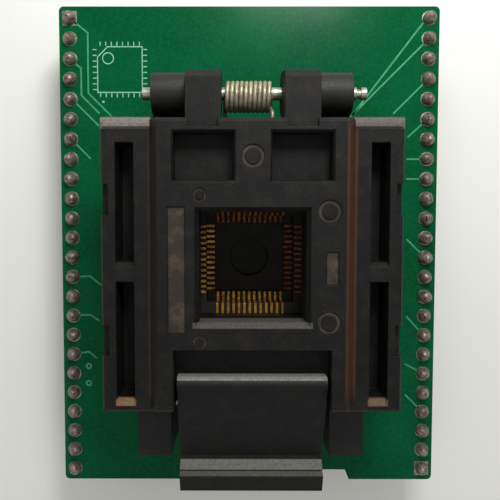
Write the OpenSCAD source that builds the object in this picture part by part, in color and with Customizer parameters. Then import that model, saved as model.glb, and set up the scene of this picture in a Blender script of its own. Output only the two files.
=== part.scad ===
// Clamshell zero insertion force socket for a 52 lead quad flat pack, on a two
// board adapter that plugs in as a 48 pin dual in line part.
// The origin is the centre of the plug's pin field, on the plane of its pin tips.
// +X is to the right, +Y is towards the hinge, +Z is up. The cover is drawn shut.

/* [Boards] */
// Width of both boards, across the pin rows
board_w = 48.4; // [48:0.1:60]
// How far the boards run past the ends of the pin strips
board_end = 0.22; // [0.1:0.01:4]
// Thickness of each board
board_t = 1.6; // [0.8:0.1:2.4]
// Radius of the boards' corners
board_corner_r = 0.6; // [0.2:0.1:2]
// Width of the notch in the upper board's front edge
notch_w = 20.8; // [10:0.1:24]
// Depth of that notch
notch_d = 1.3; // [0.5:0.1:2]
// How far the notch's middle lies to the right of the board's middle
notch_x = 2.4; // [-4:0.1:4]

/* [Link pins] */
// Pins in each row
pin_count = 24; // [20:2:28]
// Spacing of the pins along a row
pitch = 2.54; // [2:0.01:2.54]
// Distance from the boards' side edges to the rows that link them
link_edge = 1.34; // [1.3:0.01:3]
// Side of a link pin's square section
link_side = 0.64; // [0.4:0.02:0.7]
// Radius of the board holes that the link pins pass through
link_hole_r = 0.5; // [0.5:0.02:0.6]
// How far a link pin stands above the upper board
link_tip = 1.25; // [0.9:0.05:2]
// How far a link pin stands below the lower board
link_tail = 1.1; // [0.9:0.05:1.6]
// Width of the pin strips' plastic
strip_w = 2.5; // [2:0.1:2.54]
// Height of the strips between the boards
link_strip_h = 2.54; // [2:0.01:6]

/* [Plug pins] */
// Spacing of the plug's two rows
plug_row = 15.24; // [10:0.01:22.86]
// Radius of the plug pins' tips
plug_tip_r = 0.25; // [0.2:0.01:0.3]
// Length of the tips below the plug's plastic
plug_tip_l = 3.2; // [2.5:0.1:5]
// Radius of the pins' collars in the plastic
plug_collar_r = 0.65; // [0.5:0.01:0.8]
// Side of the pins' square shanks in the board
plug_shank = 0.5; // [0.4:0.01:0.6]
// How far the shanks stand above the lower board
plug_shank_tip = 0.9; // [0.7:0.05:1.2]
// Height of the plug's plastic strips
plug_strip_h = 2.5; // [1.5:0.1:4]

/* [Solder] */
// Radius of a soldered joint at the board
solder_r = 0.86; // [0.7:0.01:1]
// Radius of a soldered joint at its top
solder_top_r = 0.5; // [0.45:0.01:0.6]
// Height of a soldered joint
solder_h = 0.7; // [0.4:0.05:0.8]
// Radius of a soldered joint on a contact's tail
tail_solder_r = 0.42; // [0.35:0.01:0.45]

/* [Contacts] */
// Contacts along each side of the nest
lead_count = 13; // [5:1:13]
// Spacing of the contacts
lead_pitch = 0.65; // [0.65:0.05:0.8]
// Thickness of the contacts' sheet
contact_t = 0.3; // [0.15:0.01:0.32]
// Length of a contact's low finger, towards the middle of the nest
finger_l = 0.95; // [0.5:0.05:1.4]
// Length of a contact's shoulder, where a lead rests
shoulder_l = 1.75; // [1.2:0.05:2.2]
// Height of the low fingers above the board
finger_z = 3; // [2.6:0.1:4]
// Height of the shoulders above the board
shoulder_z = 6.5; // [5.5:0.1:8]
// Depth of the contacts' arms and shoulders
arm_t = 0.8; // [0.5:0.05:0.9]
// Width of the contacts' risers
riser_w = 0.7; // [0.4:0.05:0.9]
// Width of the contacts' tails
tail_w = 0.4; // [0.3:0.02:0.44]
// Distance between the two staggered rows of tails
tail_step = 1; // [0.9:0.05:1.4]
// How far the tails stand below the upper board
tail_tip = 0.9; // [0.6:0.05:1.2]
// Gap on each side of a contact in its slot
contact_gap = 0.05; // [0.03:0.01:0.08]

/* [Contact carrier] */
// Height of the nest's floor above the board
nest_floor_z = 2; // [1.6:0.1:2.2]
// Radius of the round recess in the nest's floor
nest_dish_r = 2.4; // [1:0.1:3]
// Depth of that recess
nest_dish_d = 1.4; // [0.1:0.1:1.5]
// How far the shoulders stand above the carrier
shoulder_proud = 0.3; // [0.1:0.05:0.6]
// Gap between the carrier and the base around it
carrier_gap = 0.1; // [0.05:0.05:0.2]

/* [Socket base] */
// How far the socket's middle lies from the board's middle, along Y
socket_y = -1; // [-3:0.1:1]
// Height of the base above the board
base_h = 12.1; // [11.5:0.1:14]
// Thickness of the base's side walls
base_side_t = 2.7; // [2:0.1:4]
// Thickness of the base's front wall
base_front_t = 4.2; // [3:0.1:6]
// Thickness of the base's back wall
base_back_t = 6.2; // [4:0.1:8]
// Width of the ears that carry the latch
ear_w = 3.9; // [3:0.05:5]
// Length of the ears in front of the base
ear_l = 9.7; // [9:0.1:11]
// Height of the ears above the board
ear_h = 9.2; // [8.6:0.1:9.3]
// Thickness of the floor between the ears
apron_t = 2; // [1.2:0.1:3]
// Radius of the pegs that locate the base in the board
peg_r = 0.9; // [0.6:0.05:1.2]

/* [Hinge] */
// Outer radius of the hinge's knuckles
knuckle_r = 2.25; // [1.8:0.05:2.4]
// Width of each of the base's knuckles
knuckle_w = 3.65; // [2.5:0.05:5]
// Width of each of the cover's lugs
lug_w = 3.65; // [2.5:0.05:4.5]
// Distance between the cover's two lugs
lug_span = 6.5; // [6.2:0.05:8]
// Side gap between a lug and its knuckle
knuckle_gap = 0.3; // [0.2:0.05:1]
// Radius of the hinge pin
pin_r = 0.7; // [0.5:0.05:0.9]
// Running clearance of the cover's lugs on the pin
pin_clearance = 0.05; // [0.03:0.01:0.08]
// How far the pin stands out at its plain end
pin_out = 1.1; // [0.5:0.1:2]
// Height of the hinge axis below the top of the base
hinge_drop = 1.1; // [0.8:0.1:1.5]

/* [Hinge spring] */
// Diameter of the spring's wire
spring_wire = 0.46; // [0.3:0.02:0.5]
// Mean radius of the spring's coil
spring_r = 1.5; // [1.5:0.02:1.6]
// Turns in the coil
spring_turns = 10.25; // [4.25:1:10.25]
// Spacing of the turns
spring_pitch = 0.5; // [0.47:0.01:0.5]
// How far the coil hangs from the pin's axis towards the cover
spring_sag = 0.4; // [0:0.05:0.45]
// How far the coil's middle lies above the pin's axis
spring_lift = 0.3; // [0:0.05:0.3]
// How far the coil's middle lies to the left of the cover's
spring_left = 0.35; // [0:0.05:0.4]

/* [Cover] */
// Thickness of the cover's plate
plate_t = 4.6; // [4:0.1:6]
// Gap between the shut cover and the base
cover_gap = 0.3; // [0.2:0.05:0.6]
// Width of the arms beside the latch
arm_w = 2.55; // [1.5:0.05:4]
// How far the arms run past the catch bar
arm_l = 2.1; // [1:0.1:3]
// How far the wings' top lies below the plate's
wing_drop = 2; // [1:0.1:3]
// Thickness of the wings' outer part, beside the base
skirt_t = 4.1; // [3.6:0.1:6]
// How far the wings hang below the plate
skirt_drop = 2.8; // [1:0.1:2.8]
// Side gap between the wings and the base
skirt_gap = 0.3; // [0.2:0.05:0.6]
// Width of the slots in the wings
slot_w = 1.95; // [1:0.05:2.2]
// Width of the bridge between a wing's two slots
slot_bridge = 2.05; // [1:0.05:4]
// Thickness below the slots
slot_floor_t = 1; // [0.6:0.1:2]
// How far the window's side edges overhang the contacts' shoulders
window_lip_x = 1.5; // [0.8:0.05:1.7]
// How far the window's front and back edges overhang them
window_lip_y = 1.3; // [0.8:0.05:1.6]
// Width of the bevel round the window
window_bevel = 0.45; // [0.2:0.05:0.6]
// Width of the bevel round the pockets
pocket_bevel = 0.2; // [0.1:0.05:0.3]
// Thickness of the frame that presses on the leads
press_t = 0.85; // [0.6:0.05:1.2]
// Gap between that frame and the shoulders with no device in the nest
press_gap = 0.3; // [0.2:0.05:0.6]
// Depth of the two pockets behind the window
pocket_d = 2.6; // [1:0.1:3.4]
// Width of each pocket
pocket_w = 6.15; // [4:0.05:7]
// Length of each pocket
pocket_l = 4.85; // [3:0.05:5.5]
// Depth of moulding marks and blank panels
mark_d = 0.15; // [0.05:0.05:0.3]
// Radius of the round moulding marks
ring_r = 1.2; // [0.6:0.05:1.5]
// Length of the finger recesses in the wings' outer edges
recess_l = 3.3; // [1:0.1:6]
// Distance between those two recesses
recess_step = 14.9; // [10:0.1:18]
// Bevel of the cover's edges
cover_bevel = 0.35; // [0.1:0.05:0.6]
// Width of the slope from the plate down to each wing
plate_slope = 0.95; // [0.2:0.05:1.2]

/* [Latch] */
// Width of the latch
latch_w = 15.7; // [13:0.1:16]
// Side gap between the latch and the cover's arms
latch_gap = 0.3; // [0.2:0.05:0.6]
// Side gap between the latch and the ears
latch_ear_gap = 1.3; // [0.4:0.05:1.6]
// Thickness of the bar that the latch catches
catch_t = 1.9; // [1.4:0.1:3]
// How far the latch's nose reaches over the bar
catch_over = 1.35; // [0.6:0.05:1.6]
// Gap between the nose and the bar
catch_gap = 0.15; // [0.1:0.05:0.3]
// Thickness of the nose
nose_t = 2.1; // [1.5:0.1:2.4]
// Radius of the latch's barrel
barrel_r = 2.2; // [1.8:0.05:2.4]
// Height of the latch's pin above the board
latch_pin_z = 6.5; // [6:0.1:7]
// How far the latch's pin lies in front of the base
latch_pin_out = 4; // [3.4:0.1:4.6]
// Radius of the latch's pin
latch_pin_r = 0.6; // [0.4:0.05:0.8]
// How far the latch reaches in front of the ears
grip_out = 2.7; // [1:0.1:4]

/* [Latch spring] */
// Diameter of the latch spring's wire
latch_wire = 0.36; // [0.2:0.02:0.4]
// Mean radius of the latch spring
latch_spring_r = 1.15; // [1:0.05:1.2]
// Turns in the latch spring
latch_turns = 8; // [5:1:10]
// Depth of the latch spring's seat in the apron
spring_seat_d = 0.6; // [0.2:0.1:0.8]

/* [Hidden] */
$fn = 48;

// Heights of the stack, from the plug's pin tips up
lower_z = plug_tip_l + plug_strip_h;
lower_top = lower_z + board_t;
upper_z = lower_top + link_strip_h;
upper_top = upper_z + board_t;
row_l = (pin_count - 1) * pitch;
strip_l = pin_count * pitch;
board_l = strip_l + 2 * board_end;
link_row = board_w - 2 * link_edge;

// Nest and contacts, measured outwards from the socket's middle
slot_side = contact_t + 2 * contact_gap;
nest_half = (lead_count - 1) / 2 * lead_pitch + 0.35;
finger_r = nest_half + contact_gap;
step_r = finger_r + finger_l;
shoulder_r = step_r + shoulder_l;
tail_r = shoulder_r + 0.2;
carrier_half = tail_r + tail_step + tail_w / 2 + 0.3;
carrier_top = shoulder_z - shoulder_proud;
well_half = carrier_half + carrier_gap;

// Base
base_half = well_half + base_side_t;
base_front = well_half + base_front_t;
base_back = well_half + base_back_t;
latch_half = latch_w / 2;
ear_in = latch_half + latch_ear_gap;
ear_out = ear_in + ear_w;
ear_front = base_front + ear_l;

// Hinge
hinge_z = base_h - hinge_drop;
plate_back = base_back + 0.2;
hinge_y = plate_back + knuckle_r + 1.15;
lug_in = lug_span / 2;
lug_out = lug_in + lug_w;
knuckle_in = lug_out + knuckle_gap;
knuckle_out = knuckle_in + knuckle_w;

// Cover
plate_z = base_h + cover_gap;
plate_top = plate_z + plate_t;
wing_top = plate_top - wing_drop;
bar_front = base_front - 0.1;
arm_front = bar_front + arm_l;
arm_in = latch_half + latch_gap;
plate_half = arm_in + arm_w;
spring_y = hinge_y - spring_sag;
spring_z = hinge_z + spring_lift;
spring_coil_l = spring_turns * spring_pitch;
spring_x = -spring_left - spring_coil_l / 2;
spring_leg_x = spring_x + spring_coil_l;
spring_top_z = spring_z + spring_r;
skirt_in = base_half + skirt_gap;
cover_half = skirt_in + skirt_t;
skirt_z = plate_z - skirt_drop;
window_x = shoulder_r - window_lip_x;
window_y = shoulder_r - window_lip_y;
press_in = shoulder_r - 0.65;
press_out = press_in + press_t;
press_z = shoulder_z + press_gap;
bar_top = plate_z + catch_t;

// Latch
pin_front = base_front + latch_pin_out;
nose_z = bar_top + catch_gap;
nose_top = nose_z + nose_t;
nose_tip = bar_front - catch_over;
latch_back = bar_front + 0.3;
grip_front = ear_front + grip_out;
grip_z = latch_pin_z + 3.7;
latch_spring_y = pin_front + barrel_r + latch_spring_r + latch_wire / 2 + 0.2;

// Shows its children on both sides of the plane X = 0
module both() {
    children();
    mirror([1, 0, 0]) children();
}

// Puts a shape drawn about the socket's middle, from the board up, in its place
module at_socket() {
    translate([0, socket_y, upper_top]) children();
}

// Repeats its children at each pin of one row
module along_row() {
    for (i = [0 : pin_count - 1])
        translate([0, row_l / 2 - i * pitch, 0]) children();
}

// A flat rectangle with round corners, centred
module round_rect(w, l, r) {
    square([w - 2 * r, l], center = true);
    square([w, l - 2 * r], center = true);
    for (x = [-1, 1], y = [-1, 1])
        translate([x * (w / 2 - r), y * (l / 2 - r)]) circle(r);
}

// An outline in Y and Z, drawn with [y, z] points, as a bar from x0 to x1
module bar_x(x0, x1) {
    translate([x0, 0, 0]) rotate([90, 0, 90]) linear_extrude(x1 - x0) children();
}

// A block between two corners
module block(low, high) {
    translate(low) cube(high - low);
}

// A round bar along X, from x0 to x1
module rod_x(x0, x1, r, y, z) {
    translate([x0, y, z]) rotate([0, 90, 0]) cylinder(r = r, h = x1 - x0);
}

// A board without its holes
module board_blank() {
    linear_extrude(board_t) round_rect(board_w, board_l, board_corner_r);
}

module link_holes() {
    for (x = [-1, 1])
        translate([x * link_row / 2, 0, -1]) along_row()
            cylinder(r = link_hole_r, h = board_t + 2, $fn = 24);
}

// Places of the contacts' tails, each at the middle of the upper board's underside
module each_tail() {
    for (side = [0 : 3], i = [0 : lead_count - 1])
        rotate([0, 0, 90 * side])
            translate([(i - (lead_count - 1) / 2) * lead_pitch, tail_r + (i % 2) * tail_step, 0])
                children();
}

module upper_board() {
    color("#0b6e3c") difference() {
        translate([0, 0, upper_z]) board_blank();
        translate([0, 0, upper_z]) link_holes();
        translate([0, socket_y, upper_z - 1]) {
            each_tail() cylinder(r = tail_w / 2 + 0.1, h = board_t + 2, $fn = 16);
            pegs(peg_r + 0.05, board_t + 2);
        }
        translate([notch_x, -board_l / 2, upper_z - 1]) linear_extrude(board_t + 2)
            polygon([[-notch_w / 2, -1], [-notch_w / 2, notch_d], [notch_w / 2, notch_d],
                     [notch_w / 2 + 0.5, 0], [notch_w / 2 + 0.5, -1]]);
    }
}

module lower_board() {
    color("#0b6e3c") difference() {
        translate([0, 0, lower_z]) board_blank();
        translate([0, 0, lower_z]) link_holes();
        for (x = [-1, 1])
            translate([x * plug_row / 2, 0, lower_z - 1]) along_row()
                cylinder(r = plug_shank / sqrt(2) + 0.03, h = board_t + 2, $fn = 24);
    }
}

// The square pins that join the boards, each with a blunt point at both ends
module link_post() {
    low = lower_z - link_tail;
    high = upper_top + link_tip;
    half = link_side / 2;
    point = 0.25;
    intersection_for (turn = [0, 90])
        rotate([90, 0, turn]) translate([0, 0, -link_side]) linear_extrude(2 * link_side)
            polygon([[-half / 2, low], [half / 2, low], [half, low + point],
                     [half, high - point], [half / 2, high], [-half / 2, high],
                     [-half, high - point], [-half, low + point]]);
}

module link_pins(side) {
    color("#8d8471") translate([side * link_row / 2, 0, 0]) along_row() link_post();
}

// The plastic strip of one row, notched between its pins
module strip(h) {
    notch = 0.35;
    difference() {
        translate([-strip_w / 2, -strip_l / 2, 0]) cube([strip_w, strip_l, h]);
        for (i = [1 : pin_count - 1], x = [-1, 1])
            translate([x * strip_w / 2, strip_l / 2 - i * pitch, -1]) rotate([0, 0, 45])
                translate([-notch / 2, -notch / 2, 0]) cube([notch, notch, h + 2]);
    }
}

module link_strip(side) {
    hole = link_side + 0.02;
    color("#1b1b1c") translate([side * link_row / 2, 0, lower_top]) difference() {
        strip(link_strip_h);
        along_row() translate([-hole / 2, -hole / 2, -1]) cube([hole, hole, link_strip_h + 2]);
    }
}

module plug_strip(side) {
    color("#1b1b1c") translate([side * plug_row / 2, 0, plug_tip_l]) difference() {
        strip(plug_strip_h);
        along_row() translate([0, 0, -1])
            cylinder(r = plug_collar_r + 0.01, h = plug_strip_h + 2, $fn = 24);
    }
}

module plug_pins(side) {
    color("#c9b377") translate([side * plug_row / 2, 0, 0]) along_row() {
        cylinder(r = plug_tip_r, h = plug_tip_l, $fn = 24);
        translate([0, 0, plug_tip_l]) cylinder(r = plug_collar_r, h = plug_strip_h, $fn = 24);
        translate([-plug_shank / 2, -plug_shank / 2, lower_z])
            cube([plug_shank, plug_shank, board_t + plug_shank_tip]);
    }
}

// A cone of solder that stands on a board around a pin
module solder_cone(r, top_r, h) {
    cylinder(r1 = r, r2 = top_r, h = h, $fn = 24);
}

module link_joint() {
    difference() {
        solder_cone(solder_r, solder_top_r, solder_h);
        translate([-link_side / 2, -link_side / 2, -1]) cube([link_side, link_side, 3]);
    }
}

module upper_solder() {
    color("#7d7a70") for (x = [-1, 1])
        translate([x * link_row / 2, 0, upper_top]) along_row() link_joint();
}

module lower_solder() {
    color("#7d7a70") for (x = [-1, 1])
        translate([x * link_row / 2, 0, lower_z]) along_row() mirror([0, 0, 1]) link_joint();
}

module plug_solder() {
    color("#7d7a70") for (x = [-1, 1])
        translate([x * plug_row / 2, 0, lower_top]) along_row() difference() {
            solder_cone(solder_r, solder_top_r, solder_h);
            translate([-plug_shank / 2, -plug_shank / 2, -1]) cube([plug_shank, plug_shank, 3]);
        }
}

// Pegs under the base, at two opposite corners
module pegs(r, h) {
    for (s = [-1, 1])
        translate([s * (base_half - 1.6), s * (well_half + 1.6), 0]) cylinder(r = r, h = h);
}

// Outline of a hinge knuckle on its post, in Y and Z
module knuckle_outline() {
    translate([hinge_y, hinge_z]) circle(knuckle_r);
    polygon([[base_back - 0.5, 0], [hinge_y + knuckle_r - 0.3, 0],
             [hinge_y + knuckle_r, hinge_z], [hinge_y - knuckle_r, hinge_z],
             [base_back, hinge_z - 1.6], [base_back - 0.5, hinge_z - 1.6]]);
}

module socket_base() {
    color("#242422") at_socket() difference() {
        union() {
            block([-base_half, -base_front, 0], [base_half, base_back, base_h]);
            both() {
                bar_x(knuckle_in, knuckle_out) knuckle_outline();
                block([ear_in, -ear_front, 0], [ear_out, 0.5 - base_front, ear_h]);
            }
            block([-ear_in - 1, -ear_front, 0], [ear_in + 1, 0.5 - base_front, apron_t]);
            translate([0, 0, 0.1 - board_t]) pegs(peg_r, board_t);
        }
        block([-well_half, -well_half, -1], [well_half, well_half, base_h + 1]);
        rod_x(-knuckle_out - 1, knuckle_out + 1, pin_r + 0.01, hinge_y, hinge_z);
        rod_x(-ear_out - 1, ear_out + 1, latch_pin_r + 0.01, -pin_front, latch_pin_z);
        translate([0, -latch_spring_y, apron_t - spring_seat_d])
            cylinder(r = latch_spring_r + latch_wire / 2 + 0.15, h = spring_seat_d + 1);
    }
}

// The comb and nest that hold the contacts
module contact_carrier() {
    slot_z = finger_z - arm_t - 0.2;
    color("#20201f") at_socket() difference() {
        block([-carrier_half, -carrier_half, 0], [carrier_half, carrier_half, carrier_top]);
        block([-nest_half, -nest_half, nest_floor_z], [nest_half, nest_half, carrier_top + 1]);
        block([-step_r + contact_gap, -step_r + contact_gap, finger_z - 0.1],
              [step_r - contact_gap, step_r - contact_gap, carrier_top + 1]);
        translate([0, 0, nest_floor_z - nest_dish_d]) cylinder(r = nest_dish_r, h = nest_dish_d + 1);
        for (side = [0 : 3], i = [0 : lead_count - 1]) {
            tail = tail_r + (i % 2) * tail_step;
            along = (i - (lead_count - 1) / 2) * lead_pitch;
            rotate([0, 0, 90 * side]) translate([along - slot_side / 2, 0, 0]) {
                block([0, nest_half - 0.1, slot_z],
                      [slot_side, tail + tail_w / 2 + contact_gap, carrier_top + 1]);
                block([0, tail - tail_w / 2 - contact_gap, -1],
                      [slot_side, tail + tail_w / 2 + contact_gap, slot_z + 1]);
            }
        }
    }
}

// One stamped contact in its own plane, as [distance from the middle, height]
module contact_outline(tail) {
    arm_z = finger_z - arm_t;
    tail_half = tail_w / 2;
    foot = -board_t - tail_tip;
    polygon([[finger_r, arm_z], [finger_r, finger_z], [step_r, finger_z],
             [step_r, shoulder_z], [shoulder_r, shoulder_z], [shoulder_r, shoulder_z - arm_t],
             [step_r + riser_w + 0.3, shoulder_z - arm_t],
             [step_r + riser_w, shoulder_z - arm_t - 0.3], [step_r + riser_w, finger_z],
             [tail + tail_half, finger_z], [tail + tail_half, foot],
             [tail - tail_half, foot], [tail - tail_half, arm_z]]);
}

module contacts(turn) {
    color("#b9975a") at_socket() rotate([0, 0, turn])
        for (i = [0 : lead_count - 1])
            translate([(i - (lead_count - 1) / 2) * lead_pitch - contact_t / 2, 0, 0])
                bar_x(0, contact_t) contact_outline(tail_r + (i % 2) * tail_step);
}

module contact_solder() {
    color("#7d7a70") translate([0, socket_y, upper_z]) each_tail() mirror([0, 0, 1]) difference() {
        solder_cone(tail_solder_r, tail_w / 2 + 0.12, tail_tip - 0.3);
        translate([-contact_t / 2, -tail_w / 2, -1]) cube([contact_t, tail_w, 3]);
    }
}

// Outline of a cover lug in Y and Z
module lug_outline() {
    translate([hinge_y, hinge_z]) circle(knuckle_r + 0.05);
    polygon([[plate_back - 1, plate_z], [plate_back - 1, plate_top - 0.5],
             [hinge_y + 0.8, plate_top - 0.5], [hinge_y + 1.6, plate_top - 1.4],
             [hinge_y + knuckle_r, hinge_z], [hinge_y - knuckle_r, hinge_z],
             [plate_back - 0.3, plate_z]]);
}

// The raised middle of the cover, bevelled on its long edges
module cover_plate() {
    b = cover_bevel;
    intersection() {
        bar_x(-plate_half, plate_half)
            polygon([[-arm_front, plate_z], [-arm_front, plate_top - b], [b - arm_front, plate_top],
                     [plate_back - b, plate_top], [plate_back, plate_top - b],
                     [plate_back, plate_z]]);
        rotate([90, 0, 0]) translate([0, 0, -plate_back]) linear_extrude(plate_back + arm_front)
            polygon([[-plate_half, plate_z], [-plate_half, wing_top],
                     [plate_slope - plate_half, plate_top], [plate_half - plate_slope, plate_top],
                     [plate_half, wing_top], [plate_half, plate_z]]);
    }
}

// The lower wing on one side, with its ridge at the back and its skirt
module wing() {
    b = cover_bevel;
    wing_back = plate_back + 0.4;
    wing_front = arm_front + 0.65;
    intersection() {
        bar_x(plate_half - 0.5, cover_half)
            polygon([[-wing_front, skirt_z], [-wing_front, wing_top - b], [b - wing_front, wing_top],
                     [wing_back - 1.25, wing_top], [wing_back - 1.1, wing_top + 0.25],
                     [wing_back - 0.7, wing_top + 0.25], [wing_back - 0.55, wing_top - 0.25],
                     [wing_back - 0.2, wing_top - 0.35], [wing_back, wing_top - 0.7],
                     [wing_back, skirt_z]]);
        rotate([90, 0, 0]) translate([0, 0, -wing_back]) linear_extrude(wing_back + wing_front)
            polygon([[plate_half - 0.5, plate_z], [plate_half - 0.5, wing_top + 1],
                     [cover_half - b - 0.6, wing_top + 1], [cover_half, wing_top - b],
                     [cover_half, skirt_z], [skirt_in, skirt_z], [skirt_in, plate_z]]);
    }
}

// A slot in a wing from y0 to y1, bevelled at its front end
module wing_slot(y0, y1) {
    x0 = skirt_in + 0.6;
    slot_z = skirt_z + slot_floor_t;
    block([x0, y0, slot_z], [x0 + slot_w, y1, wing_top + 1]);
    bar_x(x0, x0 + slot_w)
        polygon([[y0 + 0.1, wing_top - 0.7], [y0 - 0.6, wing_top + 0.1], [y0 + 0.1, wing_top + 0.1]]);
}

// Widens a w by l opening in the plate's top by c on every side
module rim_bevel(w, l, c) {
    low = plate_top - 1.5 * c;
    high = plate_top + 0.1;
    intersection() {
        bar_x(-w, w) polygon([[-l / 2, low], [-l / 2 - c, plate_top], [-l / 2 - c, high],
                              [l / 2 + c, high], [l / 2 + c, plate_top], [l / 2, low]]);
        rotate([90, 0, 0]) translate([0, 0, -l]) linear_extrude(2 * l)
            polygon([[-w / 2, low], [-w / 2 - c, plate_top], [-w / 2 - c, high],
                     [w / 2 + c, high], [w / 2 + c, plate_top], [w / 2, low]]);
    }
}

// A shallow ring left by an ejector pin
module ring_mark(x, y, r) {
    translate([x, y, plate_top - mark_d]) difference() {
        cylinder(r = r, h = mark_d + 1);
        translate([0, 0, -1]) cylinder(r = r * 0.65, h = mark_d + 3);
    }
}

module cover() {
    slot_end = arm_front - 0.7;
    slot_back = plate_back - 2.3;
    slot_mid = -0.65;
    pocket_x = 1.95;
    pocket_y = plate_back - 1.45;
    ring_x = plate_half - 2.9;
    ring_y = window_y;
    small_ring_x = 0.1 - window_x;
    panel_x = window_x + 1.4;
    color("#2b2a27") at_socket() difference() {
        union() {
            cover_plate();
            both() {
                wing();
                bar_x(lug_in, lug_out) lug_outline();
            }
            block([-press_out, -press_out, press_z], [press_out, press_out, plate_z + 0.1]);
        }
        // Window, and the wider space inside the pressing frame
        block([-window_x, -window_y, plate_z - 1], [window_x, window_y, plate_top + 1]);
        rim_bevel(2 * window_x, 2 * window_y, window_bevel);
        block([-press_in, -press_in, press_z - 1], [press_in, press_in, plate_z]);
        // Catch bar and the gap for the latch in front of it
        block([-arm_in, -arm_front - 1, bar_top], [arm_in, -press_out - 1.3, plate_top + 1]);
        block([-arm_in, -arm_front - 1, plate_z - 1], [arm_in, -bar_front, plate_top + 1]);
        // Bore for the hinge pin
        rod_x(-lug_out - 1, lug_out + 1, pin_r + pin_clearance, hinge_y, hinge_z);
        both() {
            wing_slot(slot_mid + slot_bridge / 2, slot_back);
            wing_slot(-slot_end, slot_mid - slot_bridge / 2);
            block([pocket_x, pocket_y - pocket_l, plate_top - pocket_d],
                  [pocket_x + pocket_w, pocket_y, plate_top + 1]);
            translate([pocket_x + pocket_w / 2, pocket_y - pocket_l / 2, 0])
                rim_bevel(pocket_w, pocket_l, pocket_bevel);
            // Step in front of each lug
            block([lug_in + 0.3, plate_back - 0.95, plate_top - 0.5],
                  [lug_out - 0.3, hinge_y, plate_top + 1]);
            // Finger recesses in the wings' outer edges
            for (side = [-1, 1])
                translate([0, side * recess_step / 2 - 0.5, 0])
                    block([cover_half - 0.8, -recess_l / 2, wing_top - 1.3],
                          [cover_half + 1, recess_l / 2, wing_top + 1]);
        }
        // Groove for the end of the hinge spring
        block([spring_leg_x - 0.4, plate_back - 3.4, plate_z - 1],
              [spring_leg_x + 0.4, plate_back + 1, spring_top_z + 0.35]);
        // Marks that moulding leaves, and two blank panels
        ring_mark(0, plate_back - 3.9, ring_r);
        ring_mark(ring_x, ring_y, ring_r);
        ring_mark(ring_x, -ring_y, ring_r);
        ring_mark(small_ring_x, window_y + 1.7, ring_r * 0.6);
        ring_mark(small_ring_x, -window_y - 2, ring_r * 0.6);
        block([2 - plate_half, -window_y - 1.1, plate_top - mark_d],
              [-panel_x, window_y + 0.5, plate_top + 1]);
        block([panel_x + 0.6, -ring_r - 0.6, plate_top - mark_d],
              [panel_x + 1.85, ring_r + 0.4, plate_top + 1]);
    }
}

module hinge_pin() {
    cap_x = knuckle_out + 1.1;
    color("#9b9890") at_socket() {
        rod_x(-knuckle_out - pin_out, knuckle_out + 0.6, pin_r, hinge_y, hinge_z);
        rod_x(knuckle_out + 0.6, cap_x, pin_r - 0.2, hinge_y, hinge_z);
        rod_x(cap_x, cap_x + 0.6, pin_r, hinge_y, hinge_z);
    }
}

// A wire swept along points. Every point's direction stays clear of the axis,
// so the rings are turned about it and never twist
module wire(points, r, axis, sides = 8) {
    count = len(points);
    function unit(v) = v / norm(v);
    function way(i) = unit(points[min(i + 1, count - 1)] - points[max(i - 1, 0)]);
    function up(i) = unit(axis - (axis * way(i)) * way(i));
    rings = [for (i = [0 : count - 1], k = [0 : sides - 1])
        points[i] + r * (cos(360 * k / sides) * up(i) + sin(360 * k / sides) * cross(way(i), up(i)))];
    walls = [for (i = [0 : count - 2], k = [0 : sides - 1])
        let (next = (k + 1) % sides)
        [i * sides + k, i * sides + next, (i + 1) * sides + next, (i + 1) * sides + k]];
    first = [for (k = [0 : sides - 1]) sides - 1 - k];
    last = [for (k = [0 : sides - 1]) (count - 1) * sides + k];
    polyhedron(rings, concat([first, last], walls));
}

// The hinge spring's coil turns about X, with one leg under the cover's edge
// and one against the base's back wall
module hinge_spring() {
    steps = 16;
    total = round(spring_turns * steps);
    coil = [for (i = [0 : total])
        let (a = 180 + 360 * i / steps)
        [spring_x + spring_pitch * i / steps,
         spring_y + spring_r * sin(a), spring_z + spring_r * cos(a)]];
    low_leg = [[spring_x, base_back + spring_wire / 2 + 0.02, spring_z - spring_r]];
    color("#a7a49a") at_socket() wire(concat(low_leg, coil, [
        [spring_leg_x, spring_y - spring_r - 0.05, spring_z + spring_r * 0.7],
        [spring_leg_x, plate_back - 0.3, spring_top_z - 0.05],
        [spring_leg_x, plate_back - 2.8, spring_top_z - 0.05]]), spring_wire / 2, [1, 0, 0]);
}

// Outline of the latch in Y and Z, from its nose down to the finger grip
module latch_outline() {
    round_r = 0.75;
    grip_top = nose_top - 2.75;
    translate([-nose_tip - round_r - 0.05, nose_top - round_r]) circle(round_r);
    polygon([[-nose_tip, nose_z], [-nose_tip, nose_top - round_r],
             [-nose_tip - round_r, nose_top], [1.35 - ear_front, nose_top - 4.25],
             [0.9 - ear_front, nose_top - 4.2], [-ear_front + 0.05, grip_top - 0.6],
             [-ear_front, grip_top - 0.85], [-ear_front - 0.15, grip_top - 0.75],
             [-ear_front - 0.55, grip_top - 0.15], [0.3 - grip_front, grip_top - 0.85],
             [-grip_front, grip_top - 1.4], [0.3 - grip_front, grip_z + 0.9],
             [1.6 - grip_front, grip_z], [-pin_front - barrel_r - 0.1, grip_z],
             [-pin_front - barrel_r + 0.1, latch_pin_z + 1.2], [-pin_front, latch_pin_z],
             [-pin_front + barrel_r, latch_pin_z], [-latch_back - 1.2, latch_pin_z + 2.6],
             [-latch_back, nose_z - 2.2], [-latch_back, nose_z]]);
    translate([-pin_front, latch_pin_z]) circle(barrel_r);
}

module latch() {
    boss_r = latch_spring_r - latch_wire / 2 - 0.15;
    color("#262624") at_socket() difference() {
        union() {
            bar_x(-latch_half, latch_half) latch_outline();
            translate([0, -latch_spring_y, grip_z - 0.8]) cylinder(r = boss_r, h = 1);
        }
        rod_x(-latch_half - 1, latch_half + 1, latch_pin_r + pin_clearance, -pin_front, latch_pin_z);
    }
}

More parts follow.
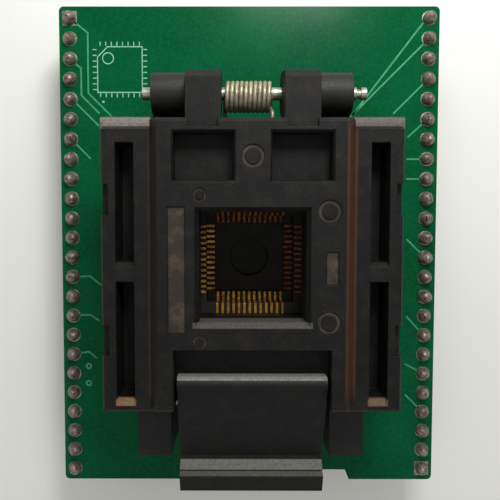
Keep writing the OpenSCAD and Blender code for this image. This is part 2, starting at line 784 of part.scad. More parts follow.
module latch_pin() {
    color("#9b9890") at_socket()
        rod_x(0.15 - ear_out, ear_out - 0.15, latch_pin_r, -pin_front, latch_pin_z);
}

module latch_spring() {
    steps = 14;
    total = latch_turns * steps;
    low = apron_t - spring_seat_d + latch_wire / 2 + 0.02;
    high = grip_z - latch_wire / 2 - 0.02;
    function rise(f) = f < 1 / latch_turns ? f * latch_wire * latch_turns
        : f > 1 - 1 / latch_turns ? high - low - (1 - f) * latch_wire * latch_turns
        : latch_wire + (high - low - 2 * latch_wire) * (f * latch_turns - 1) / (latch_turns - 2);
    color("#a7a49a") at_socket() translate([0, -latch_spring_y, low])
        wire([for (i = [0 : total])
            let (a = 360 * i / steps)
            [latch_spring_r * cos(a), latch_spring_r * sin(a), rise(i / total)]],
            latch_wire / 2, [0, 0, 1]);
}

upper_board();
lower_board();
link_strip(-1);  // link_strip_left
link_strip(1);  // link_strip_right
link_pins(-1);  // link_pins_left
link_pins(1);  // link_pins_right
upper_solder();
lower_solder();
plug_strip(-1);  // plug_strip_left
plug_strip(1);  // plug_strip_right
plug_pins(-1);  // plug_pins_left
plug_pins(1);  // plug_pins_right
plug_solder();
socket_base();
contact_carrier();
contacts(0);  // contacts_back
contacts(180);  // contacts_front
contacts(90);  // contacts_left
contacts(-90);  // contacts_right
contact_solder();
cover();
hinge_pin();
hinge_spring();
latch();
latch_pin();
latch_spring();
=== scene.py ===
import math

import bpy
import numpy as np
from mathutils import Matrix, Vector


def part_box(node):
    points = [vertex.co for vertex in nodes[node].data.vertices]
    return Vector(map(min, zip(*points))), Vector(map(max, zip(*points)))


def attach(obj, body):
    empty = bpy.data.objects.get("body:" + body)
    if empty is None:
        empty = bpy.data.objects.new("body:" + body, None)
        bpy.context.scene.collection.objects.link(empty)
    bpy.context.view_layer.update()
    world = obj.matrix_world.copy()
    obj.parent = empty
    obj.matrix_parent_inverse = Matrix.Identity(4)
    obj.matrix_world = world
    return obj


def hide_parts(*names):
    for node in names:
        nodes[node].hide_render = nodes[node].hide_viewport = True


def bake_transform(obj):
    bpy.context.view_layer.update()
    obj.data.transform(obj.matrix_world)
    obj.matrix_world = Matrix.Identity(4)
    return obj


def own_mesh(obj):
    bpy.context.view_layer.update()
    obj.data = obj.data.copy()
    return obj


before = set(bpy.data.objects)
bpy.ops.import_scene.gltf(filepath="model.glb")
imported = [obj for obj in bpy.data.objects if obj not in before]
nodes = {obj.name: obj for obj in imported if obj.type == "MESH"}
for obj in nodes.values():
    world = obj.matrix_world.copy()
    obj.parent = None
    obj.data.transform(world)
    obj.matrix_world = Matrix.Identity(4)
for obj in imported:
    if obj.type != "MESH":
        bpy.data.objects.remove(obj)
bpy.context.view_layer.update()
mm = 0.001
rng = np.random.default_rng(7)


# Camera 89 mm up, tipped three degrees towards the latch's end
cameraLook = {
    "place": (-0.00194, 0.00482, 0.08916),
    "turn": (-3.147, 0.167, 0.038),  # degrees about X, Y and Z
    "lens": 43.2,
    "shift": (0.036, -0.013),
}
cameraData = bpy.data.cameras.new("camera")
cameraData.lens = cameraLook["lens"]
cameraData.sensor_width = 36
cameraData.clip_start = 0.001
cameraData.shift_x, cameraData.shift_y = cameraLook["shift"]
camera = bpy.data.objects.new("camera", cameraData)
camera.location = cameraLook["place"]
camera.rotation_euler = [math.radians(a) for a in cameraLook["turn"]]
bpy.context.scene.collection.objects.link(camera)
bpy.context.scene.camera = camera
bpy.context.scene.view_settings.view_transform = "Standard"
print("camera set")


# Nodes and colours
# Linear colour of an sRGB hex code
def fromHex(text):
    c = np.array([int(text[i:i + 2], 16) for i in (1, 3, 5)]) / 255
    c = np.where(c <= 0.04045, c / 12.92, ((c + 0.055) / 1.055) ** 2.4)
    return (*c, 1.0)


def addNode(tree, kind, inputs=None, **settings):
    node = tree.nodes.new(kind)
    for name, value in settings.items():
        setattr(node, name, value)
    for name, value in (inputs or {}).items():
        if isinstance(value, bpy.types.NodeSocket):
            tree.links.new(value, node.inputs[name])
        else:
            node.inputs[name].default_value = value
    return node


def newMaterial(name):
    material = bpy.data.materials.new(name)
    material.use_nodes = True
    tree = material.node_tree
    tree.nodes.clear()
    shader = addNode(tree, "ShaderNodeBsdfPrincipled")
    addNode(tree, "ShaderNodeOutputMaterial", {"Surface": shader.outputs[0]})
    spot = addNode(tree, "ShaderNodeTexCoord").outputs["Object"]
    return material, tree, shader, spot


# Noise whose blotches are about size mm across
def noise(tree, spot, size, detail=2.0, rough=0.5):
    return addNode(tree, "ShaderNodeTexNoise", {
        "Vector": spot, "Scale": 1 / (size * mm), "Detail": detail, "Roughness": rough}).outputs[0]


def ramp(tree, value, low, high, lowOut=0.0, highOut=1.0):
    return addNode(tree, "ShaderNodeMapRange", {
        "Value": value, "From Min": low, "From Max": high, "To Min": lowOut, "To Max": highOut},
        interpolation_type="SMOOTHSTEP").outputs[0]


def maths(tree, kind, a, b):
    return addNode(tree, "ShaderNodeMath", {0: a, 1: b}, operation=kind, use_clamp=True).outputs[0]


# Colour a where share is 0 and b where it is 1
def blendColour(tree, share, a, b):
    return addNode(tree, "ShaderNodeMix", {0: share, 6: a, 7: b}, data_type="RGBA").outputs[2]


# 1 between low and high mm, falling to 0 over soft mm on both sides
def band(tree, value, low, high, soft):
    up = ramp(tree, value, (low - soft) * mm, low * mm)
    down = ramp(tree, value, high * mm, (high + soft) * mm, 1.0, 0.0)
    return maths(tree, "MULTIPLY", up, down)


# Normals that round the edges by radius mm, with a bump depth mm high over them
def roundedNormal(tree, radius, height=None, strength=0.0, depth=0.01):
    edge = addNode(tree, "ShaderNodeBevel", {"Radius": radius * mm}, samples=6).outputs[0]
    if height is None:
        return edge
    return addNode(tree, "ShaderNodeBump", {
        "Height": height, "Strength": strength, "Distance": depth * mm, "Normal": edge}).outputs[0]


mouldingLook = {
    "grain": 0.14, "specks": 0.10, "dust": 1.6, "mottle": 0.3,  # mm across
    "edgeRadius": 0.12, "bumpDepth": 0.02,  # mm
    "bump": 0.5, "roughness": (0.5, 0.68),
    "speckColour": "#6a655b", "speckShare": 0.22,
}


# Glass filled thermoplastic of the socket, matt black with light dust and fibre ends. Each band
# is a patch of dust or a painted highlight, shown above bandFloor mm only: an axis with its low end,
# high end and soft edge, the same for a second axis, then a colour and the share of it that shows
def mouldingMaterial(name, colour, dustColour, dustAmount, bands=(), gloss=0.3, bandFloor=0.0):
    m = mouldingLook
    material, tree, shader, spot = newMaterial(name)
    grain = noise(tree, spot, m["grain"], 3.0, 0.6)
    specks = ramp(tree, noise(tree, spot, m["specks"], 1.0, 0.5), 0.66, 0.76)
    dust = ramp(tree, noise(tree, spot, m["dust"], 5.0, 0.62), 0.42, 0.72, 0.0, dustAmount)
    look = blendColour(tree, dust, fromHex(colour), fromHex(dustColour))
    look = blendColour(tree, maths(tree, "MULTIPLY", specks, m["speckShare"]), look,
                       fromHex(m["speckColour"]))
    axes = addNode(tree, "ShaderNodeSeparateXYZ", {0: spot}).outputs
    upper = ramp(tree, axes[2], (bandFloor - 0.1) * mm, (bandFloor + 0.1) * mm)
    mottle = ramp(tree, noise(tree, spot, m["mottle"], 3.0, 0.6), 0.3, 0.6, 0.65, 1.0)
    for (axis, low, high, soft), (axis2, low2, high2, soft2), shade, amount in bands:
        mask = maths(tree, "MULTIPLY", band(tree, axes[axis], low, high, soft),
                     band(tree, axes[axis2], low2, high2, soft2))
        for share in (mottle, amount, upper):
            mask = maths(tree, "MULTIPLY", mask, share)
        look = blendColour(tree, mask, look, fromHex(shade))
    tree.links.new(look, shader.inputs["Base Color"])
    tree.links.new(ramp(tree, grain, 0.3, 0.7, *m["roughness"]), shader.inputs["Roughness"])
    tree.links.new(roundedNormal(tree, m["edgeRadius"], grain, m["bump"], m["bumpDepth"]),
                   shader.inputs["Normal"])
    shader.inputs["Specular IOR Level"].default_value = gloss
    return material


maskLook = {
    "clouds": 9.0, "weave": 0.5, "specks": 0.22,  # mm across
    "edgeRadius": 0.08, "bumpDepth": 0.012,  # mm
    "bump": 0.2, "roughness": 0.2, "gloss": 0.08,
    "dark": "#004a28", "light": "#00562f", "weaveColour": "#006a3c",
    "speckColour": "#7fae93", "cutEdge": "#5d6b35",
}


# Green solder mask over glass and epoxy laminate: smooth, faintly woven, with the bare laminate
# on faces that stand upright
def boardMaterial():
    m = maskLook
    material, tree, shader, spot = newMaterial("board_mask")
    axes = addNode(tree, "ShaderNodeSeparateXYZ", {0: spot}).outputs
    cloud = ramp(tree, noise(tree, spot, m["clouds"], 3.0, 0.5), 0.3, 0.7)
    look = blendColour(tree, cloud, fromHex(m["dark"]), fromHex(m["light"]))
    weave = noise(tree, spot, m["weave"], 2.0, 0.5)
    look = blendColour(tree, ramp(tree, weave, 0.35, 0.7, 0.0, 0.3), look, fromHex(m["weaveColour"]))
    specks = ramp(tree, noise(tree, spot, m["specks"], 2.0, 0.6), 0.70, 0.78, 0.0, 0.6)
    look = blendColour(tree, specks, look, fromHex(m["speckColour"]))
    facing = addNode(tree, "ShaderNodeNewGeometry").outputs["Normal"]
    upward = addNode(tree, "ShaderNodeSeparateXYZ", {0: facing}).outputs[2]
    side = ramp(tree, addNode(tree, "ShaderNodeMath", {0: upward}, operation="ABSOLUTE").outputs[0],
                0.4, 0.6, 1.0, 0.0)
    look = blendColour(tree, side, look, fromHex(m["cutEdge"]))
    tree.links.new(look, shader.inputs["Base Color"])
    shader.inputs["Roughness"].default_value = m["roughness"]
    shader.inputs["Specular IOR Level"].default_value = m["gloss"]
    tree.links.new(roundedNormal(tree, m["edgeRadius"], weave, m["bump"], m["bumpDepth"]),
                   shader.inputs["Normal"])
    return material


# Solder mask where copper lies under it, or ink on it: one colour, worn darker in blotches
def inkMaterial(name, colour, rough):
    material, tree, shader, spot = newMaterial(name)
    wear = ramp(tree, noise(tree, spot, 0.7, 3.0, 0.6), 0.35, 0.65)
    worn = tuple(c * 0.75 for c in fromHex(colour)[:3]) + (1.0,)
    look = blendColour(tree, wear, fromHex(colour), worn)
    tree.links.new(look, shader.inputs["Base Color"])
    shader.inputs["Roughness"].default_value = rough
    return material


# Metals: a colour, a tarnished colour in blotches size mm across, roughness and how metallic
def metalMaterial(name, colour, tarnish, size, rough, metallic=1.0):
    material, tree, shader, spot = newMaterial(name)
    blotch = ramp(tree, noise(tree, spot, size, 4.0, 0.6), 0.4, 0.65)
    tree.links.new(blendColour(tree, blotch, fromHex(colour), fromHex(tarnish)),
                   shader.inputs["Base Color"])
    tree.links.new(ramp(tree, blotch, 0.0, 1.0, rough, min(1.0, rough + 0.15)),
                   shader.inputs["Roughness"])
    tree.links.new(roundedNormal(tree, 0.04), shader.inputs["Normal"])
    shader.inputs["Metallic"].default_value = metallic
    return material


wingEdge = 10.7  # mm from the middle to the foot of the slope between plate and wing
coverDustAndHighlightDepth = 3.1  # mm below the cover's top to which its bands of dust and painted highlight reach
latchHighlightDepth = 5.2  # the same for the latch
# Colours of painted highlights: on the wings' back ridges, and on the latch's ribs and edge
wingRidgeHighlight, latchHighlight = "#8f8680", "#77776e"
coverBands = [
    # Rust brown dust along the right slope, and less of it along the left one
    ((0, wingEdge - 1.0, wingEdge + 0.1, 0.3), (1, -13.0, 12.0, 3.0), "#5e3c26", 0.5),
    ((0, -wingEdge - 0.1, -wingEdge + 0.8, 0.3), (1, -14.0, 12.0, 2.0), "#43362e", 0.3),
    # Painted highlight on the rounded ridge at the back of each wing
    ((1, 13.45, 14.45, 0.25), (0, wingEdge, 16.0, 0.1), wingRidgeHighlight, 0.45),
    ((1, 13.45, 14.45, 0.25), (0, -16.0, -wingEdge, 0.1), wingRidgeHighlight, 0.7),
    # Painted highlights on the bevels at the slots' front ends
    ((1, -15.9, -15.25, 0.08), (0, 12.35, 14.4, 0.08), "#8f745a", 0.5),
    ((1, -15.9, -15.25, 0.08), (0, -14.4, -12.35, 0.08), "#9c7a5a", 0.65),
    # Painted highlight on the front bevel of the window
    ((1, -7.2, -6.7, 0.1), (0, -6.1, 6.1, 0.1), "#77736d", 0.4),
]
latchBands = [
    # Painted highlights on two ribs at the grip's free end, and on the edge beside the cover's recess
    ((1, -23.7, -22.85, 0.1), (0, -8.0, 8.0, 0.1), latchHighlight, 0.75),
    ((1, -24.15, -23.85, 0.08), (0, -8.0, 8.0, 0.1), latchHighlight, 0.45),
    ((1, -12.75, -12.45, 0.12), (0, -7.8, 7.8, 0.1), "#96968e", 0.8),
]
# Socket base, then cover with its own patches of dust and painted highlights, and latch with its own
# painted highlights
moulding = mouldingMaterial("black_moulding", "#12110f", "#2a2620", 0.3, (), 0.4)
coverMoulding = mouldingMaterial("black_moulding_cover", "#0b0b0a", "#2a261f", 0.35, coverBands,
                                 0.24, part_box("cover")[1].z / mm - coverDustAndHighlightDepth)
latchMoulding = mouldingMaterial("black_moulding_latch", "#0c0c0b", "#242220", 0.3, latchBands,
                                 0.26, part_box("latch")[1].z / mm - latchHighlightDepth)
carrierMoulding = mouldingMaterial("black_moulding_carrier", "#262521", "#3a372f", 0.5)
wornMoulding = mouldingMaterial("worn_moulding_marks", "#2c2621", "#4b3f35", 0.9)
strip = mouldingMaterial("strip_plastic", "#181819", "#2c2b29", 0.2)
board = boardMaterial()
track = inkMaterial("mask_over_copper", "#2f9a62", 0.4)
ink = inkMaterial("board_ink", "#86c8a4", 0.7)
# Tinned pads, pale round the joints
padMetal = metalMaterial("tinned_pad", "#a8a294", "#857c6b", 0.6, 0.35)
# Old hand made joints: grey brown, with a broken shine
solder = metalMaterial("dull_solder", "#968d80", "#6a5244", 0.5, 0.42, 0.6)
# Square pins under a dull coat of tin, and plug pins with a thin bright plating
tinnedPin = metalMaterial("tinned_pin", "#8d8471", "#6d6250", 0.5, 0.35)
plugPin = metalMaterial("plated_plug_pin", "#c9b377", "#a58f58", 1.0, 0.25)
# Gold plated contacts: yellow at the front and left, and duller and redder at the back and right, a
# painted shade
contactMetal = metalMaterial("gold_plated_contact", "#e0b04e", "#a87630", 0.6, 0.35, 0.6)
# Painted shade: a darker, redder copy of the contacts' gold for the back and right rows
contactInPaintedShade = metalMaterial("contact_in_painted_shade", "#96502a", "#6a3519", 0.6, 0.4, 0.6)
# Drawn steel: the pins are bright, the springs yellower and duller
steel = metalMaterial("steel_pin", "#bfc0b4", "#8d8a7e", 0.8, 0.3, 0.8)
springSteel = metalMaterial("spring_steel", "#b3ad94", "#8c846a", 0.8, 0.4, 0.55)
nodeMaterials = {
    "upper_board": board, "lower_board": board,
    "link_strip_left": strip, "link_strip_right": strip,
    "link_pins_left": tinnedPin, "link_pins_right": tinnedPin,
    "upper_solder": solder, "lower_solder": solder, "plug_solder": solder,
    "plug_strip_left": strip, "plug_strip_right": strip,
    "plug_pins_left": plugPin, "plug_pins_right": plugPin,
    "socket_base": moulding, "contact_carrier": carrierMoulding,
    "contacts_back": contactInPaintedShade, "contacts_front": contactMetal,
    "contacts_left": contactMetal, "contacts_right": contactInPaintedShade,
    "contact_solder": solder, "cover": coverMoulding,
    "hinge_pin": steel, "hinge_spring": springSteel,
    "latch": latchMoulding, "latch_pin": steel, "latch_spring": springSteel,
}
for nodeName, material in nodeMaterials.items():
    nodes[nodeName].data.materials.clear()
    nodes[nodeName].data.materials.append(material)
print("materials set")


# One list of points and one of faces from several (points, faces)
def joined(parts):
    points, faces, start = [], [], 0
    for p, f in parts:
        points.append(p)
        faces.extend([[start + i for i in face] for face in f])
        start += len(p)
    return np.concatenate(points), faces


# Turns every face over if the closed surface they make is inside out
def outward(points, faces):
    volume = 0.0
    for face in faces:
        p = points[face]
        volume += np.einsum("ij,ij->", np.cross(p[1:-1], p[2:]), np.broadcast_to(p[0], p[1:-1].shape))
    return faces if volume > 0 else [face[::-1] for face in faces]


def newPiece(name, parts, material, body, smooth=True):
    points, faces = joined(parts)
    mesh = bpy.data.meshes.new(name)
    mesh.from_pydata((points * mm).tolist(), [], faces)
    mesh.polygons.foreach_set("use_smooth", [smooth] * len(mesh.polygons))
    mesh.materials.append(material)
    mesh.update()
    piece = bpy.data.objects.new(name, mesh)
    bpy.context.scene.collection.objects.link(piece)
    if body:
        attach(piece, body)
    return piece


# Quads of a grid of points whose columns close on themselves
def gridFaces(rows, columns):
    i = np.arange(rows - 1)[:, None] * columns
    k = np.arange(columns)[None, :]
    n = (k + 1) % columns
    return np.stack([i + k, i + n, i + columns + n, i + columns + k], -1).reshape(-1, 4).tolist()


# A flat strip along a path in X and Y, from height low to high. At each point the strip's side is
# the mean of its neighbours' sides, lengthened so that the width stays even, up to a limit that
# keeps sharp corners short
def ribbon(path, width, low, high, closed=False):
    p = np.array(path, float)
    step = np.roll(p, -1, 0) - p
    step /= np.linalg.norm(step, axis=1)[:, None] + 1e-12
    before = np.roll(step, 1, 0)
    if not closed:
        step[-1] = before[-1]
        before[0] = step[0]
    side = np.stack([-step[:, 1] - before[:, 1], step[:, 0] + before[:, 0]], 1)
    side /= np.linalg.norm(side, axis=1)[:, None]
    sharpest = 0.4
    grow = 1 / np.clip(side[:, 0] * -step[:, 1] + side[:, 1] * step[:, 0], sharpest, 1)
    side *= (width / 2 * grow)[:, None]
    left, right = p + side, p - side
    levels = [(left, low), (left, high), (right, high), (right, low)]
    points = np.stack([np.c_[q, np.full(len(q), z)] for q, z in levels], 1).reshape(-1, 3)
    rows = len(p)
    faces = gridFaces(rows, 4)
    if closed:
        last = (rows - 1) * 4
        faces += [[last + k, last + (k + 1) % 4, (k + 1) % 4, k] for k in range(4)]
    else:
        faces += [[3, 2, 1, 0], [rows * 4 - 4 + k for k in range(4)]]
    return points, outward(points, faces)


def circlePath(x, y, r, count=24):
    a = np.arange(count) * 2 * math.pi / count
    return np.c_[x + r * np.cos(a), y + r * np.sin(a)]


def disc(x, y, r, low, high, count=24):
    ring = circlePath(x, y, r, count)
    points = np.concatenate([np.c_[ring, np.full(count, low)], np.c_[ring, np.full(count, high)]])
    faces = gridFaces(2, count) + [list(range(count))[::-1], list(range(count, 2 * count))]
    return points, outward(points, faces)


# Copper, ink and pads on the upper board
boardLow, boardHigh = (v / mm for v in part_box("upper_board"))
boardTop = boardHigh.z
edgeToRow = 1.34  # mm from the board's edge to the middle of a pin row
boardLook = {
    "pitch": 2.54, "pinsPerRow": 24,
    "rowX": (boardHigh.x - boardLow.x) / 2 - edgeToRow,
    "sunk": 0.02,  # mm that each flat detail reaches into the board
    "trackWidth": 0.22, "trackHeight": 0.03,
    "viaRadius": 0.3, "viaWidth": 0.25,
    "inkWidth": 0.13, "inkHeight": 0.015,
    "padHalf": 0.92, "padHeight": 0.03,
    # Tracks from the pins of each row, counted from the hinge end: steps of (towards the middle,
    # towards the hinge)
    "leftTracks": [
        (0, [(2.3, -1.8), (0, -7.6), (2.9, -2.9)]), (2, [(1.4, -1.2), (0, -3.4), (2.3, -2.3)]),
        (4, [(0.9, -0.7), (2.7, -2.7)]), (6, [(2.5, -2.5)]), (13, [(2.2, 0.1), (1.5, -1.2)]),
        (15, [(2.2, 0.1), (1.2, -0.8)]), (17, [(2.0, 0.3), (1.0, -0.9)]),
    ],
    "rightTracks": [
        (0, [(0.7, -0.5), (9.0, -11.8)]), (1, [(9.9, -9.9)]), (3, [(4.4, -4.4)]), (5, [(2.5, -2.3)]),
        (7, [(2.6, 0)]), (8, [(2.6, 0)]), (12, [(2.4, 2.4)]), (16, [(2.3, 2.5)]),
        (18, [(2.4, 1.3)]), (20, [(2.3, 2.3)]),
    ],
    "vias": [(-20.93, -15.57), (-20.96, -17.84)],
    # Outline of the chip drawn in ink: a square with one corner cut, a circle placed from its left
    # top corner and a dot placed from its left bottom corner, each by X, Y and radius
    "symbol": {"left": -19.35, "right": -13.64, "top": 25.66, "bottom": 19.91, "cut": 1.3,
               "ticks": 8, "tickLength": 0.5, "tickGap": 0.12,
               "circle": (1.35, -1.45, 0.7), "dot": (0.7, -1.2, 0.16)},
}


def pinY(index):
    return ((boardLook["pinsPerRow"] - 1) / 2 - index) * boardLook["pitch"]


def boardTracks():
    b, parts = boardLook, []
    low, high = boardTop - b["sunk"], boardTop + b["trackHeight"]
    for side, tracks in ((-1, b["leftTracks"]), (1, b["rightTracks"])):
        for index, steps in tracks:
            path = np.cumsum([(side * b["rowX"], pinY(index))] + [(-side * x, y) for x, y in steps], 0)
            parts.append(ribbon(path, b["trackWidth"], low, high))
    for x, y in b["vias"]:
        parts.append(ribbon(circlePath(x, y, b["viaRadius"]), b["viaWidth"], low, high, True))
    return parts


def boardInk():
    s, width = boardLook["symbol"], boardLook["inkWidth"]
    low, high = boardTop - boardLook["sunk"], boardTop + boardLook["inkHeight"]
    circleX, circleY, circleRadius = s["circle"]
    dotX, dotY, dotRadius = s["dot"]
    outline = [(s["left"] + s["cut"], s["top"]), (s["right"], s["top"]), (s["right"], s["bottom"]),
               (s["left"], s["bottom"]), (s["left"], s["top"] - s["cut"])]
    parts = [ribbon(outline, width, low, high, True),
             ribbon(circlePath(s["left"] + circleX, s["top"] + circleY, circleRadius), width,
                    low, high, True),
             disc(s["left"] + dotX, s["bottom"] + dotY, dotRadius, low, high)]
    spots = (np.arange(s["ticks"]) + 0.5) / s["ticks"]
    near, far = s["tickGap"], s["tickGap"] + s["tickLength"]
    for t in spots:
        x = s["left"] + t * (s["right"] - s["left"])
        y = s["bottom"] + t * (s["top"] - s["bottom"])
        for a, c in (((x, s["top"] + near), (x, s["top"] + far)),
                     ((x, s["bottom"] - near), (x, s["bottom"] - far)),
                     ((s["right"] + near, y), (s["right"] + far, y)),
                     ((s["left"] - near, y), (s["left"] - far, y))):
            parts.append(ribbon([a, c], width, low, high))
    return parts


def boardPads():
    b = boardLook
    low, high = boardTop - b["sunk"], boardTop + b["padHeight"]
    parts = []
    for side in (-1, 1):
        for index in range(b["pinsPerRow"]):
            x, y = side * b["rowX"], pinY(index)
            # The first pad of the left row and the last of the right one are square
            if (side, index) in ((-1, 0), (1, b["pinsPerRow"] - 1)):
                h = b["padHalf"]
                parts.append(ribbon([(x - h, y), (x + h, y)], 2 * h, low, high))
            else:
                parts.append(disc(x, y, b["padHalf"], low, high))
    return parts


newPiece("board_tracks", boardTracks(), track, "base", smooth=False)
newPiece("board_ink", boardInk(), ink, "base", smooth=False)
newPiece("board_pads", boardPads(), padMetal, "base", smooth=False)
print("board details made")


# Worn floors of the cover's shallow moulding marks: rings and two blank panels
markLook = {
    "depth": 0.15, "sunk": 0.01, "rise": 0.03,
    # A ring's middle line and its width, as shares of its outer radius
    "ringLine": 0.825, "ringWidth": 0.33,
    # Middle in X and Y from the socket's middle, outer radius
    "rings": [(0, 11.3, 1.2), (7.8, 5.7, 1.2), (7.8, -5.7, 1.2), (-5.4, 7.4, 0.72), (-5.4, -7.7, 0.72)],
    # Left, right, front and back
    "panels": [(-8.65, -6.95, -6.75, 6.15), (7.55, 8.7, -1.75, 1.55)],
    "socketY": -1.0,
}


def coverMarks():
    m, parts = markLook, []
    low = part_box("cover")[1].z / mm - m["depth"] - m["sunk"]
    high = low + m["rise"]
    for x, y, r in m["rings"]:
        parts.append(ribbon(circlePath(x, y + m["socketY"], r * m["ringLine"]), r * m["ringWidth"],
                            low, high, True))
    for x0, x1, y0, y1 in m["panels"]:
        middle = (x0 + x1) / 2
        parts.append(ribbon([(middle, y0 + m["socketY"]), (middle, y1 + m["socketY"])], x1 - x0,
                            low, high))
    return parts


newPiece("cover_mark_floors", coverMarks(), wornMoulding, "cover", smooth=False)


# Solder around the pins. Each joint's radius falls with the square root of what is left of its
# height, so that it leaves the pad steeply and closes over the pin's tip as a dome
jointLook = {
    "radius": 0.86, "spread": 0.06, "lean": 0.12, "sides": 20, "rings": 7,
    "upperHeight": 1.3, "lowerHeight": 1.15, "plugHeight": 0.97,
    "uneven": (-0.04, 0.06),  # least and most that a joint's height differs, as a share
    "waves": ((2, 0.05), (3, 0.03)),  # waves round a joint and their share of its radius
    "fullness": 1.8, "tip": 0.08, "sunk": 0.02,
}


def solderJoints(rowX, level, up, height):
    j, parts = jointLook, []
    a = np.arange(j["sides"]) * 2 * math.pi / j["sides"]
    t = np.linspace(0, 1, j["rings"] + 1)[:, None]
    fall = np.sqrt(1 - t ** j["fullness"])
    fall[-1] = j["tip"]
    for x in (-rowX, rowX):
        for index in range(boardLook["pinsPerRow"]):
            r = j["radius"] + rng.uniform(-1, 1) * j["spread"]
            tall = height * (1 + rng.uniform(*j["uneven"]))
            wave = 1.0
            for count, share in j["waves"]:
                wave = wave + share * np.sin(count * a + rng.uniform(0, 6))
            lean = rng.uniform(-1, 1, 2) * j["lean"]
            px = x + lean[0] * t + r * fall * wave * np.cos(a)
            py = pinY(index) + lean[1] * t + r * fall * wave * np.sin(a)
            pz = level + up * (tall * t - j["sunk"]) + 0 * a
            points = np.stack([px, py, pz], -1).reshape(-1, 3)
            rows = j["rings"] + 1
            faces = gridFaces(rows, j["sides"])
            faces += [list(range(j["sides"]))[::-1],
                      list(range((rows - 1) * j["sides"], rows * j["sides"]))]
            parts.append((points, outward(points, faces)))
    return parts


lowerLow, lowerHigh = (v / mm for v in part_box("lower_board"))
plugPinHalf = 0.65  # mm from a plug pin's middle to its widest side
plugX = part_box("plug_pins_right")[0].x / mm + plugPinHalf
upperJoints = newPiece(
    "upper_solder_joints",
    solderJoints(boardLook["rowX"], boardTop, 1, jointLook["upperHeight"]), solder, "base")
lowerJoints = newPiece(
    "lower_solder_joints",
    solderJoints(boardLook["rowX"], lowerLow.z, -1, jointLook["lowerHeight"]), solder, "base")
plugJoints = newPiece(
    "plug_solder_joints",
    solderJoints(plugX, lowerHigh.z, 1, jointLook["plugHeight"]), solder, "base")
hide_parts("upper_solder")
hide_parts("lower_solder")
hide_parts("plug_solder")
print("solder made")


# A round wire swept along a line of points. Its rings are square to the line, and keep to one
# axis so that they never twist about it
def sweptWire(line, radius, axis, sides=14):
    line = np.array(line, float)
    way = np.gradient(line, axis=0)
    way /= np.linalg.norm(way, axis=1)[:, None]
    up = np.array(axis, float) - way * (way @ np.array(axis, float))[:, None]
    up /= np.linalg.norm(up, axis=1)[:, None]
    across = np.cross(way, up)
    a = np.arange(sides) * 2 * math.pi / sides
    points = (line[:, None] + radius * (np.cos(a)[None, :, None] * up[:, None]
                                        + np.sin(a)[None, :, None] * across[:, None])).reshape(-1, 3)
    rows = len(line)
    faces = gridFaces(rows, sides)
    faces += [list(range(sides))[::-1], list(range((rows - 1) * sides, rows * sides))]
    return points, outward(points, faces)


hingeSpringLook = {
    "wire": 0.46, "turns": 10.25, "stepsPerTurn": 28,
    # How far in front of the coil's axis the base's leg starts and ends, and its points
    "tailFar": 1.9, "tailNear": 0.25, "tailPoints": 6,
    # The bend into the cover's leg, and how far past the bend the leg's points lie
    "bendGap": 0.1, "bendReach": 0.45, "bendPoints": 7, "legDrop": 0.05,
    "legPoints": (0.5, 1.2, 1.9, 2.5),
}
latchSpringLook = {"wire": 0.36, "turns": 8, "stepsPerTurn": 24, "keep": 0.74}


# The coil goes round a line along X, a quarter turn past ten turns. Its ends run out as
# straight legs, a low one to the base's wall and a high one under the cover
def hingeSpring():
    s = hingeSpringLook
    low, high = (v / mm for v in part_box("hinge_spring"))
    half = s["wire"] / 2
    left, right = low.x + half, high.x - half
    r = (high.z - low.z - s["wire"]) / 2
    middleZ, middleY = (low.z + high.z) / 2, high.y - half - r
    t = np.linspace(0, s["turns"], int(s["turns"] * s["stepsPerTurn"]) + 1)
    a = math.pi + 2 * math.pi * t
    coil = np.stack([left + (right - left) * t / s["turns"],
                     middleY + r * np.sin(a), middleZ + r * np.cos(a)], 1)
    tailY = np.linspace(middleY - s["tailFar"], middleY - s["tailNear"], s["tailPoints"])
    tail = np.array([[left, y, middleZ - r] for y in tailY])
    endY, topZ = coil[-1][1], middleZ + r
    bend = np.linspace(0, math.pi / 2, s["bendPoints"] + 1)[1:]
    turn = np.stack([np.full(s["bendPoints"], right),
                     endY - s["bendGap"] - s["bendReach"] * (1 - np.cos(bend)),
                     middleZ + (topZ - middleZ - s["legDrop"]) * np.sin(bend)], 1)
    leg = np.array([[right, turn[-1][1] - d, topZ - s["legDrop"]] for d in s["legPoints"]])
    return sweptWire(np.concatenate([tail, coil, turn, leg]), half, (1, 0, 0)), left, right


springParts, springLeft, springRight = hingeSpring()
hingeSpringWire = newPiece("hinge_spring_wire", [springParts], springSteel, None)
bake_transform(hingeSpringWire)
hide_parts("hinge_spring")


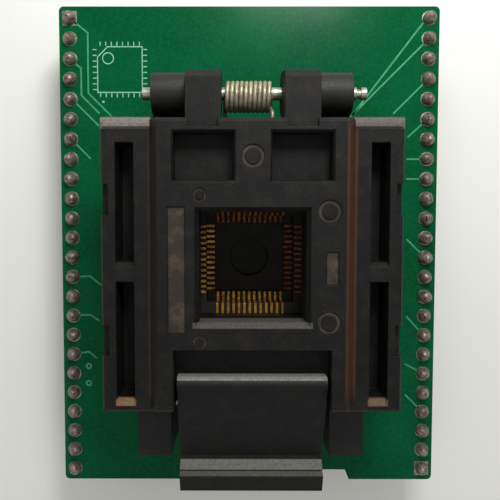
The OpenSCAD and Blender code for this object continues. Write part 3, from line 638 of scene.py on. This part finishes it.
# The coil climbs evenly, but for one flat turn at each end
def latchSpring():
    s = latchSpringLook
    low, high = (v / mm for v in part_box("latch_spring"))
    half = s["wire"] / 2
    r = (high.x - low.x - s["wire"]) / 2
    t = np.linspace(0, 1, s["turns"] * s["stepsPerTurn"] + 1)
    flat = 1 / s["turns"]
    middle = s["wire"] + (high.z - low.z - 3 * s["wire"]) * (t - flat) / (1 - 2 * flat)
    rise = np.where(t < flat, t * s["turns"] * s["wire"],
                    np.where(t > 1 - flat, high.z - low.z - s["wire"] * (1 + (1 - t) * s["turns"]),
                             middle))
    a = 2 * math.pi * s["turns"] * t
    line = np.stack([(low.x + high.x) / 2 + r * np.cos(a), (low.y + high.y) / 2 + r * np.sin(a),
                     low.z + half + rise], 1)
    return sweptWire(line, half, (0, 0, 1)), low


springParts, springLow = latchSpring()
latchSpringWire = newPiece("latch_spring_wire", [springParts], springSteel, "base")
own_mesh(latchSpringWire)
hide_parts("latch_spring")
print("springs made")


# Pale floor, soft light from the hinge end and weaker light from all round
lightLook = {
    "floor": "#f6f6f0", "sky": 0.5,
    # Name, place, aim, size and power of each lamp
    "lamps": [("key", (0.015, 0.075, 0.1), (0, 0, 0.01), 0.03, 0.08),
              ("hinge_lamp", (0.004, 0.066, 0.052), (0, 0.022, 0.012), 0.03, 0.011)],
}
floorMesh = bpy.data.meshes.new("floor")
floorMesh.from_pydata([(-1, -1, 0), (1, -1, 0), (1, 1, 0), (-1, 1, 0)], [], [(0, 1, 2, 3)])
floor = bpy.data.objects.new("floor", floorMesh)
bpy.context.scene.collection.objects.link(floor)
# Matt white paper, which takes soft shadows
floorMaterial, _, floorShader, _ = newMaterial("paper")
floorShader.inputs["Base Color"].default_value = fromHex(lightLook["floor"])
floorShader.inputs["Roughness"].default_value = 0.9
floorMesh.materials.append(floorMaterial)
for name, place, aim, size, power in lightLook["lamps"]:
    lampData = bpy.data.lights.new(name, "AREA")
    lampData.size = size
    lampData.energy = power
    lamp = bpy.data.objects.new(name, lampData)
    lamp.location = place
    lamp.rotation_euler = (Vector(aim) - Vector(place)).to_track_quat("-Z", "Y").to_euler()
    bpy.context.scene.collection.objects.link(lamp)
world = bpy.data.worlds.new("world")
world.use_nodes = True
background = world.node_tree.nodes["Background"]
background.inputs["Strength"].default_value = lightLook["sky"]
background.inputs["Color"].default_value = (1, 1, 1, 1)
bpy.context.scene.world = world
print("light set")
